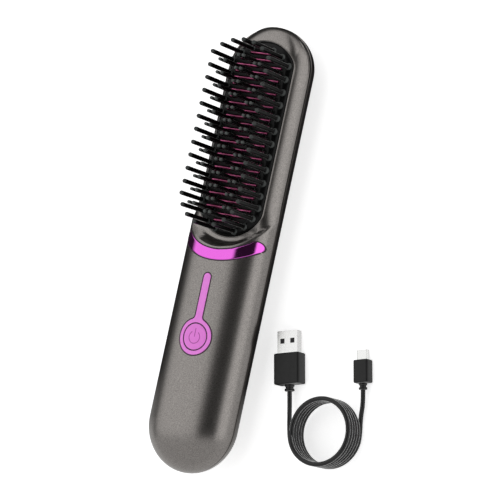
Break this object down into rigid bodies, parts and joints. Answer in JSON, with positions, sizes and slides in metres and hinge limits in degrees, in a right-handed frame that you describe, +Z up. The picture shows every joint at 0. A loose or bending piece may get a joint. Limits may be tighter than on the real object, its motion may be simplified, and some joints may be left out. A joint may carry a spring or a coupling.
{
  "type": "hot comb",
  "caption": "Cordless heated straightening comb: oval capsule body, bristled comb guard over a ribbed hot plate, push button, and a coiled charging cable beside it.",
  "frame": {"origin": "under the middle of the comb, on the surface that its back rests on", "axes": "+Z up out of the bristle side, +Y along the comb from the tail with the charging socket to the bristled head, +X across it, towards the loose charging cable"},
  "size_m": [0.1183, 0.24, 0.0479],
  "materials": {
    "housing_lacquer": "gunmetal metallic lacquer over moulded ABS, satin",
    "band_mirror": "magenta mirror-plated trim",
    "inlay_magenta": "magenta light-guide plastic, soft gloss",
    "button_magenta": "magenta plastic, soft gloss, power symbol on top",
    "switch_black": "black plastic",
    "guard_black": "black heat-resistant nylon, glossy",
    "plate_magenta": "magenta-coated aluminium",
    "ceramic_white": "white alumina ceramic",
    "mica_amber": "mica laminate",
    "silicone_grey": "grey silicone",
    "tray_nylon": "black glass-filled nylon",
    "glass_bead": "epoxy-dipped thermistor",
    "nickel_steel": "nickel-plated steel",
    "cell_wrap": "steel cell in a blue plastic sleeve",
    "board_green": "green solder mask",
    "led_white": "white LED package",
    "chip_black": "black moulded package",
    "plug_rubber": "dark grey rubber",
    "cable_black": "black PVC jacket, satin",
    "overmold_black": "black moulded grip, satin",
    "plug_nickel": "bright nickel-plated steel"
  },
  "bodies": {
    "housing": {"front_housing": "housing_lacquer", "rear_housing": "housing_lacquer", "accent_band": "band_mirror", "indicator_inlay": "inlay_magenta", "tact_switch": "switch_black", "comb_guard": "guard_black", "edge_bristles": "guard_black", "guard_teeth": "guard_black", "heating_plate": "plate_magenta", "ceramic_heater": "ceramic_white", "mica_sheet": "mica_amber", "pressure_pad": "silicone_grey", "heater_tray": "tray_nylon", "temperature_sensor": "glass_bead", "thermal_fuse": "nickel_steel", "battery_cell_left": "cell_wrap", "battery_cell_right": "cell_wrap", "battery_tabs": "nickel_steel", "battery_bracket": "tray_nylon", "control_board": "board_green", "status_leds": "led_white", "controller_chip": "chip_black", "power_inductor": "chip_black", "heater_mosfets": "chip_black", "charge_board": "board_green", "charge_socket": "nickel_steel", "socket_tongue": "switch_black", "housing_screws": "nickel_steel", "screw_plugs": "plug_rubber", "board_screws": "nickel_steel", "cable_coil": "cable_black", "cable_lead_usb": "cable_black", "cable_lead_micro": "cable_black", "usb_a_relief": "overmold_black", "usb_a_overmold": "overmold_black", "usb_a_shell": "plug_nickel", "usb_a_tongue": "switch_black", "micro_usb_relief": "overmold_black", "micro_usb_overmold": "overmold_black", "micro_usb_shell": "plug_nickel", "micro_usb_core": "switch_black"},
    "power_button": {"power_button": "button_magenta", "switch_plunger": "switch_black"}
  },
  "joints": [
    {"name": "power_button_press", "type": "slide", "parent": "housing", "child": "power_button", "axis": [0, 0, -1], "range_m": [0, 0.0005], "stiffness_N_per_m": 1200}
  ]
}
